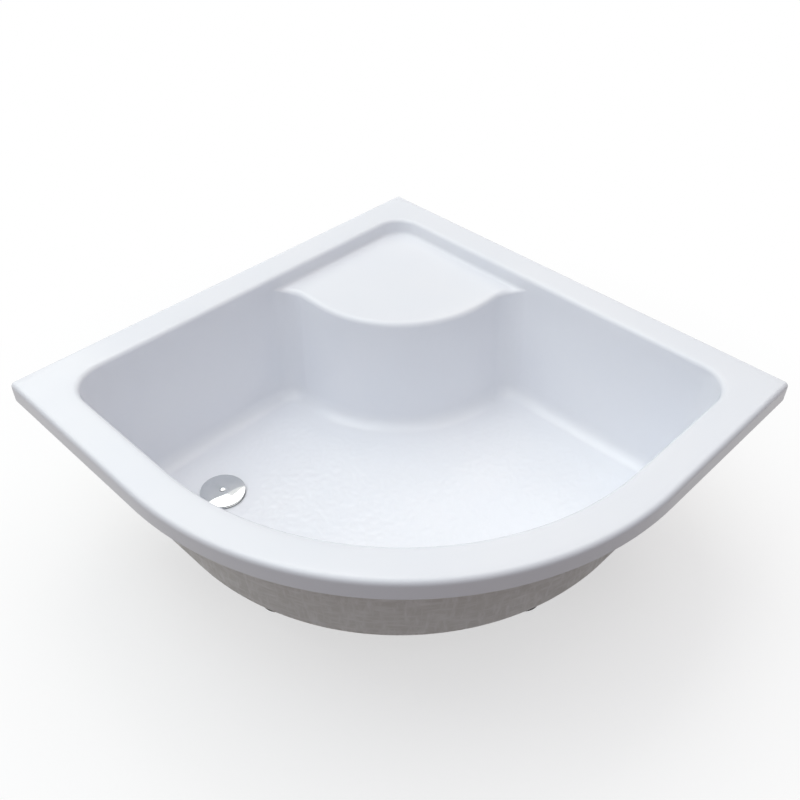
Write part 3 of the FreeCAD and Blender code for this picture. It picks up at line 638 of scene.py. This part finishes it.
COVER_LIFT = 0.004
COVER_EDGE = 0.0025
COVER_SHEET = 0.0018
COVER_LAND = 0.007
COVER_EASE = 0.0008
COVER_EASE_BOW = 0.3*COVER_EASE
COVER_BEVEL = 0.0012
COVER_BOW = 0.0008
COVER_UNDER_BOW = 0.0004
LEDGE_DEPTH = 0.0015
STEM_RADIUS = 0.004
COLLAR_RADIUS = 0.0062
KNOB_EDGE = 0.0008
KNOB_NECK = 0.82
KNOB_NECK_HEIGHT = 0.4*KNOB_EDGE
KNOB_SIDE_START = 0.7*KNOB_EDGE
KNOB_BOW = 0.0006


def middle_of(node):
    low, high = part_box(node)
    return (low[0] + high[0])/2, (low[1] + high[1])/2


def waste_cover():
    """Domed cover with an eased edge, hollow below, on the stem that stands in the strainer."""
    low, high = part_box("waste_cover")
    ledge_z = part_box("waste_flange")[1][2] - LEDGE_DEPTH
    radius = (high[0] - low[0])/2
    inner = radius - COVER_SHEET
    edge_z = RIM_Z - BASIN_DEPTH + COVER_LIFT
    top_edge_z = edge_z + COVER_EDGE
    outline = [(0, low[2]), (STEM_RADIUS - COVER_EASE, low[2]), (STEM_RADIUS, low[2] + COVER_EASE)]
    outline += [(STEM_RADIUS, ledge_z), (COLLAR_RADIUS, ledge_z)]
    outline += [(COLLAR_RADIUS, high[2] - COVER_SHEET)]
    outline += arc_points(outline[-1], (inner, top_edge_z - COVER_SHEET/2), COVER_UNDER_BOW, 8)
    outline += [(inner, edge_z + COVER_EASE/2), (inner + COVER_EASE/2, edge_z)]
    outline += [(radius - COVER_BEVEL, edge_z), (radius, edge_z + COVER_BEVEL)]
    outline += [(radius, top_edge_z - COVER_EASE)]
    outline += arc_points(outline[-1], (radius - COVER_EASE, top_edge_z), -COVER_EASE_BOW, 5)
    outline += arc_points(outline[-1], (COVER_LAND, high[2]), -COVER_BOW, 28)
    outline += [(COVER_LAND/2, high[2]), (0, high[2])]
    return lathe("waste_cover_dome", outline, middle_of("waste_cover"))


def cover_knob():
    """Low button with a rounded crown and a small foot."""
    low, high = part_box("cover_knob")
    radius = (high[0] - low[0])/2
    neck = KNOB_NECK*radius
    outline = [(0, low[2]), (neck, low[2]), (neck, low[2] + KNOB_NECK_HEIGHT)]
    outline += [(radius, low[2] + KNOB_SIDE_START), (radius, low[2] + KNOB_EDGE)]
    outline += arc_points(outline[-1], (0, high[2]), -KNOB_BOW, 14)
    return lathe("cover_knob_button", outline, middle_of("cover_knob"), 48)


# Threaded studs

THREAD_PITCH = 0.00175
THREAD_DEPTH = 0.0009
THREAD_ROWS = 8
COLLAR_FLATS = 0.017
COLLAR_HEIGHT = 0.008
COLLAR_CHAMFER = 0.0009
PAD_HEIGHT = 0.020
STUD_RADIUS = 0.006
STUD_STEPS = 24
STUD_TURNS = 2*math.pi*np.arange(STUD_STEPS)/STUD_STEPS


def hexagon_radii(flats):
    """Distance from the middle of a hexagon to its edge, all the way round."""
    return flats/2/np.cos(STUD_TURNS % (math.pi/3) - math.pi/6)


def thread_rows(start_z, end_z):
    """Radii and heights of a thread that runs out at its start and is chamfered at its end."""
    count = int((end_z - start_z)/THREAD_PITCH*THREAD_ROWS)
    rows = []
    for row in range(count + 1):
        z = start_z + (end_z - start_z)*row/count
        run_out = min(1, (z - start_z)/THREAD_PITCH)
        chamfer = THREAD_DEPTH*max(0, 1 - (end_z - z)/THREAD_PITCH)
        phase = (row/THREAD_ROWS - STUD_TURNS/(2*math.pi)) % 1
        groove = THREAD_DEPTH*run_out*(1 - np.abs(2*phase - 1))
        rows.append((STUD_RADIUS - np.maximum(groove, chamfer), z))
    return rows


def threaded_stud(node):
    """Levelling stud with a cut thread, a hexagon for a spanner and a plain end in its pad."""
    low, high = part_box(node)
    collar_top = PAD_HEIGHT + COLLAR_HEIGHT
    plain = np.full(STUD_STEPS, STUD_RADIUS)
    flats = hexagon_radii(COLLAR_FLATS)
    crown = np.minimum(flats, COLLAR_FLATS/2)
    rows = [(plain - THREAD_DEPTH, low[2]), (plain, low[2] + THREAD_DEPTH), (plain, PAD_HEIGHT)]
    rows += [(crown, PAD_HEIGHT), (flats, PAD_HEIGHT + COLLAR_CHAMFER)]
    rows += [(flats, collar_top - COLLAR_CHAMFER), (crown, collar_top)]
    rows += thread_rows(collar_top, high[2])
    x, y = middle_of(node)
    points = []
    for radii, z in rows:
        for radius, angle in zip(radii, STUD_TURNS):
            points.append((x + radius*math.cos(angle), y + radius*math.sin(angle), z))
    faces = [tuple(reversed(range(STUD_STEPS))), tuple(range(len(points) - STUD_STEPS, len(points)))]
    for first in range(0, len(points) - STUD_STEPS, STUD_STEPS):
        faces += [quad[::-1] for quad in band(first, first + STUD_STEPS, STUD_STEPS)]
    piece = make_mesh(node + "_thread", points, faces)
    smooth(piece, 35)
    return piece


# Materials

NOISE_RANGE = (0.3, 0.7)
STRAND_RANGE = (0.45, 0.75)
BLOOM_RANGE = (0.35, 0.75)
BLACK = ((0.018, 0.018, 0.019), (0.026, 0.026, 0.028))
WHITE = ((0.74, 0.74, 0.72), (0.80, 0.80, 0.79))


def new_material(name):
    """Node material with its tree, its shader and the place on the piece in metres."""
    made = bpy.data.materials.new(name)
    made.use_nodes = True
    tree = made.node_tree
    place = tree.nodes.new("ShaderNodeTexCoord").outputs["Object"]
    return made, tree, tree.nodes["Principled BSDF"].inputs, place


def noise(tree, place, scale, detail=2.0):
    node = tree.nodes.new("ShaderNodeTexNoise")
    node.inputs["Scale"].default_value = scale
    node.inputs["Detail"].default_value = detail
    tree.links.new(place, node.inputs["Vector"])
    return node.outputs["Fac"]


def cell_shades(tree, place, scale, channel):
    """Shade that is even within each cell and differs from one cell to the next."""
    node = tree.nodes.new("ShaderNodeTexVoronoi")
    node.inputs["Scale"].default_value = scale
    tree.links.new(place, node.inputs["Vector"])
    tone = tree.nodes.new("ShaderNodeSeparateColor")
    tree.links.new(node.outputs["Color"], tone.inputs["Color"])
    return tone.outputs[channel]


def stretched(tree, place, scale):
    """Place on the piece, squeezed differently along each axis."""
    node = tree.nodes.new("ShaderNodeMapping")
    node.inputs["Scale"].default_value = scale
    tree.links.new(place, node.inputs["Vector"])
    return node.outputs["Vector"]


def between(tree, share, low, high, start=0.0, end=1.0):
    """Number that runs from low to high while the share runs from start to end."""
    node = tree.nodes.new("ShaderNodeMapRange")
    values = (start, end, low, high)
    for key, value in zip(("From Min", "From Max", "To Min", "To Max"), values):
        node.inputs[key].default_value = value
    tree.links.new(share, node.inputs["Value"])
    return node.outputs["Result"]


def tint(tree, share, low, high, start=0.0, end=1.0):
    """Colour that runs from low to high while the share runs from start to end."""
    node = tree.nodes.new("ShaderNodeMix")
    node.data_type = "RGBA"
    shades = {"A": low, "B": high}
    for socket in node.inputs:
        if socket.type == "RGBA":
            socket.default_value = (*shades[socket.name], 1)
    tree.links.new(between(tree, share, 0, 1, start, end), node.inputs["Factor"])
    return next(socket for socket in node.outputs if socket.type == "RGBA")


def larger(tree, one, other):
    node = tree.nodes.new("ShaderNodeMath")
    node.operation = "MAXIMUM"
    tree.links.new(one, node.inputs[0])
    tree.links.new(other, node.inputs[1])
    return node.outputs[0]


def relief(tree, inputs, height, strength, distance):
    node = tree.nodes.new("ShaderNodeBump")
    node.inputs["Strength"].default_value = strength
    node.inputs["Distance"].default_value = distance
    tree.links.new(height, node.inputs["Height"])
    tree.links.new(node.outputs["Normal"], inputs["Normal"])


def acrylic():
    """Glossy white acrylic with a faint cloud in its colour and gloss, and a slight peel."""
    made, tree, inputs, place = new_material("acrylic")
    cloud = noise(tree, place, 5, 3)
    colour = tint(tree, cloud, (0.850, 0.868, 0.915), (0.872, 0.882, 0.920), *NOISE_RANGE)
    tree.links.new(colour, inputs["Base Color"])
    roughness = between(tree, noise(tree, place, 24, 4), 0.15, 0.23, *NOISE_RANGE)
    tree.links.new(roughness, inputs["Roughness"])
    inputs["IOR"].default_value = 1.49
    relief(tree, inputs, noise(tree, place, 160, 2), 0.03, 0.0006)
    return made


def fibreglass():
    """Rough underside of crossing glass strands in pale resin."""
    made, tree, inputs, place = new_material("fibreglass")
    upright = noise(tree, stretched(tree, place, (5, 5, 1)), 30, 3)
    level = noise(tree, stretched(tree, place, (1, 1, 5)), 30, 3)
    strands = larger(tree, upright, level)
    colour = tint(tree, strands, (0.77, 0.77, 0.73), (0.88, 0.88, 0.86), *STRAND_RANGE)
    tree.links.new(colour, inputs["Base Color"])
    tree.links.new(between(tree, strands, 0.6, 0.35, *STRAND_RANGE), inputs["Roughness"])
    relief(tree, inputs, strands, 0.4, 0.0015)
    return made


def chipboard():
    """Pressed wood chips of several tones, sealed with resin."""
    made, tree, inputs, place = new_material("chipboard")
    chips = cell_shades(tree, stretched(tree, place, (1, 1.7, 2.4)), 170, "Red")
    tree.links.new(tint(tree, chips, (0.36, 0.24, 0.13), (0.66, 0.51, 0.33)), inputs["Base Color"])
    tree.links.new(between(tree, noise(tree, place, 60, 3), 0.5, 0.75), inputs["Roughness"])
    relief(tree, inputs, chips, 0.3, 0.0006)
    return made


def galvanised_steel():
    """Dull zinc-dipped steel with spangle."""
    made, tree, inputs, place = new_material("galvanised_steel")
    spangle = cell_shades(tree, stretched(tree, place, (1, 1, 0.7)), 130, "Green")
    tree.links.new(tint(tree, spangle, (0.46, 0.48, 0.50), (0.66, 0.68, 0.70)), inputs["Base Color"])
    tree.links.new(between(tree, spangle, 0.34, 0.52), inputs["Roughness"])
    inputs["Metallic"].default_value = 0.95
    relief(tree, inputs, noise(tree, place, 400, 3), 0.08, 0.0003)
    return made


def zinc_plate():
    """Bright zinc plate, a little warmer in places."""
    made, tree, inputs, place = new_material("zinc_plate")
    cloud = noise(tree, place, 90, 3)
    colour = tint(tree, cloud, (0.62, 0.61, 0.57), (0.74, 0.75, 0.77), *NOISE_RANGE)
    tree.links.new(colour, inputs["Base Color"])
    tree.links.new(between(tree, cloud, 0.36, 0.22, *NOISE_RANGE), inputs["Roughness"])
    inputs["Metallic"].default_value = 1.0
    relief(tree, inputs, noise(tree, place, 900, 2), 0.06, 0.0002)
    return made


def moulded_plastic(name, low, high, roughness):
    """Moulded plastic with a fine spark-eroded grain."""
    made, tree, inputs, place = new_material(name)
    colour = tint(tree, noise(tree, place, 30, 3), low, high, *NOISE_RANGE)
    tree.links.new(colour, inputs["Base Color"])
    grain = noise(tree, place, 1100, 2)
    uneven = between(tree, grain, roughness - 0.06, roughness + 0.06)
    tree.links.new(uneven, inputs["Roughness"])
    relief(tree, inputs, grain, 0.12, 0.0002)
    return made


def rubber():
    """Soft matt black rubber with a bloom."""
    made, tree, inputs, place = new_material("rubber")
    bloom = noise(tree, place, 120, 4)
    colour = tint(tree, bloom, (0.020, 0.020, 0.021), (0.045, 0.045, 0.047), *BLOOM_RANGE)
    tree.links.new(colour, inputs["Base Color"])
    tree.links.new(between(tree, bloom, 0.65, 0.85), inputs["Roughness"])
    relief(tree, inputs, noise(tree, place, 700, 2), 0.15, 0.0002)
    return made


def chrome():
    """Polished chrome plate with the faintest smear."""
    made, tree, inputs, place = new_material("chrome")
    smear = noise(tree, place, 55, 4)
    colour = tint(tree, smear, (0.74, 0.76, 0.76), (0.80, 0.81, 0.81), *NOISE_RANGE)
    tree.links.new(colour, inputs["Base Color"])
    tree.links.new(between(tree, smear, 0.03, 0.075, *NOISE_RANGE), inputs["Roughness"])
    inputs["Metallic"].default_value = 1.0
    return made


finishes = {
    "acrylic": acrylic(),
    "board": chipboard(),
    "galvanised_steel": galvanised_steel(),
    "zinc_fasteners": zinc_plate(),
    "black_plastic": moulded_plastic("black_plastic", *BLACK, 0.48),
    "white_plastic": moulded_plastic("white_plastic", *WHITE, 0.38),
    "rubber_seal": rubber(),
    "chrome_plate": chrome(),
}


def dress(piece, node, slot, *materials):
    """Give a piece its materials and let it stand for a node, on the node's body."""
    for made in materials:
        piece.data.materials.append(made)
    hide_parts(node)
    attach(piece, nodes[node]["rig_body"])


for node in nodes.values():
    for slot in node.material_slots:
        slot.material = finishes[slot.material.name.split(".")[0]]

dress(tray_shell(), "tray_shell", "acrylic", finishes["acrylic"], fibreglass())
cover = waste_cover()
smooth(cover)
dress(cover, "waste_cover", "chrome_plate", finishes["chrome_plate"])
knob = cover_knob()
smooth(knob)
dress(knob, "cover_knob", "chrome_plate", finishes["chrome_plate"])
for name in list(nodes):
    if name.startswith("foot_stud_"):
        dress(threaded_stud(name), name, "zinc_fasteners", finishes["zinc_fasteners"])


# Stage

def seen_directly(tree):
    """One for rays from the camera and for mirrored or refracted ones, and nought for others."""
    rays = tree.nodes.new("ShaderNodeLightPath").outputs
    mirrored = larger(tree, rays["Is Glossy Ray"], rays["Is Transmission Ray"])
    return larger(tree, rays["Is Camera Ray"], mirrored)


FLOOR_REACH = 9.0
FLOOR_WHITE = 0.42
FLOOR_GLOW = 0.60
FLOOR_BOUNCE = (0.17, 0.12, 0.10)
SHADOW_REACH = 0.55
WHITE_REACH = 1.1


def mixed_shader(tree, share, one, other):
    """Shader that runs from one to the other as the share runs from 0 to 1."""
    node = tree.nodes.new("ShaderNodeMixShader")
    tree.links.new(share, node.inputs[0])
    tree.links.new(one.outputs[0], node.inputs[1])
    tree.links.new(other.outputs[0], node.inputs[2])
    return node


def diffuse(tree, colour):
    node = tree.nodes.new("ShaderNodeBsdfDiffuse")
    node.inputs["Color"].default_value = (*colour, 1)
    return node


def glow(tree, strength):
    node = tree.nodes.new("ShaderNodeEmission")
    node.inputs["Strength"].default_value = strength
    return node


def studio_floor():
    """Pale floor that shows the object's shadow, is plain white further off and reflects dimly."""
    corners = [(-FLOOR_REACH, -FLOOR_REACH, 0), (FLOOR_REACH, -FLOOR_REACH, 0)]
    corners += [(FLOOR_REACH, FLOOR_REACH, 0), (-FLOOR_REACH, FLOOR_REACH, 0)]
    piece = make_mesh("studio_floor", corners, [(0, 1, 2, 3)])
    made, tree, _, place = new_material("studio_floor")
    tree.nodes.remove(tree.nodes["Principled BSDF"])
    away = tree.nodes.new("ShaderNodeVectorMath")
    away.operation = "LENGTH"
    tree.links.new(place, away.inputs[0])
    shaded = tree.nodes.new("ShaderNodeAddShader")
    tree.links.new(diffuse(tree, (FLOOR_WHITE,)*3).outputs[0], shaded.inputs[0])
    tree.links.new(glow(tree, FLOOR_GLOW).outputs[0], shaded.inputs[1])
    whiter = between(tree, away.outputs["Value"], 0, 1, SHADOW_REACH, WHITE_REACH)
    seen = mixed_shader(tree, whiter, shaded, glow(tree, 1))
    choice = mixed_shader(tree, seen_directly(tree), diffuse(tree, FLOOR_BOUNCE), seen)
    tree.links.new(choice.outputs[0], tree.nodes["Material Output"].inputs["Surface"])
    piece.data.materials.append(made)


AMBIENT = (0.277, 0.275, 0.305)


def studio_world():
    """Soft light from all round, seen as plain white."""
    world = bpy.data.worlds.new("studio")
    bpy.context.scene.world = world
    world.use_nodes = True
    tree = world.node_tree
    soft = tree.nodes.new("ShaderNodeBackground")
    soft.inputs["Color"].default_value = (*AMBIENT, 1)
    white = tree.nodes["Background"]
    white.inputs["Color"].default_value = (1, 1, 1, 1)
    choice = mixed_shader(tree, seen_directly(tree), soft, white)
    tree.links.new(choice.outputs[0], tree.nodes["World Output"].inputs["Surface"])


LAMP_SIZE = 5.2
LAMP_AIM = Vector((0, 0, 0.25))


def aimed(place, aim):
    """Turn for a lamp or camera at a place that looks at another."""
    return (aim - place).to_track_quat("-Z", "Y").to_matrix().to_4x4()


def soft_lamp(name, place, energy, colour):
    """Large square lamp that shines on the middle of the basin."""
    lamp = bpy.data.lights.new(name, "AREA")
    lamp.size = LAMP_SIZE
    lamp.energy = energy
    lamp.color = colour
    piece = bpy.data.objects.new(name, lamp)
    piece.matrix_world = Matrix.Translation(place) @ aimed(Vector(place), LAMP_AIM)
    bpy.context.collection.objects.link(piece)


studio_floor()
studio_world()
soft_lamp("key", (-2.9, -0.65, 4.65), 114, (0.95, 1, 0.94))
soft_lamp("fill", (0, -2.4, 4.8), 82.5, (0.92, 0.98, 1))
soft_lamp("back", (-0.25, 2.3, 4.8), 76, (1, 0.95, 0.88))


# Camera

CAMERA_PLACE = Vector((0.80655, -0.83765, 1.32255))
CAMERA_TARGET = Vector((0.02945, -0.03417, 0.370))
CAMERA_LENS = 41.60
CAMERA_SENSOR = 36.0
CAMERA_ROLL = math.radians(0.595)


def studio_camera():
    camera = bpy.data.objects.new("camera", bpy.data.cameras.new("camera"))
    camera.data.lens = CAMERA_LENS
    camera.data.sensor_width = CAMERA_SENSOR
    turned = aimed(CAMERA_PLACE, CAMERA_TARGET) @ Matrix.Rotation(CAMERA_ROLL, 4, "Z")
    camera.matrix_world = Matrix.Translation(CAMERA_PLACE) @ turned
    bpy.context.collection.objects.link(camera)
    bpy.context.scene.camera = camera


studio_camera()
bpy.context.scene.view_settings.view_transform = "Standard"
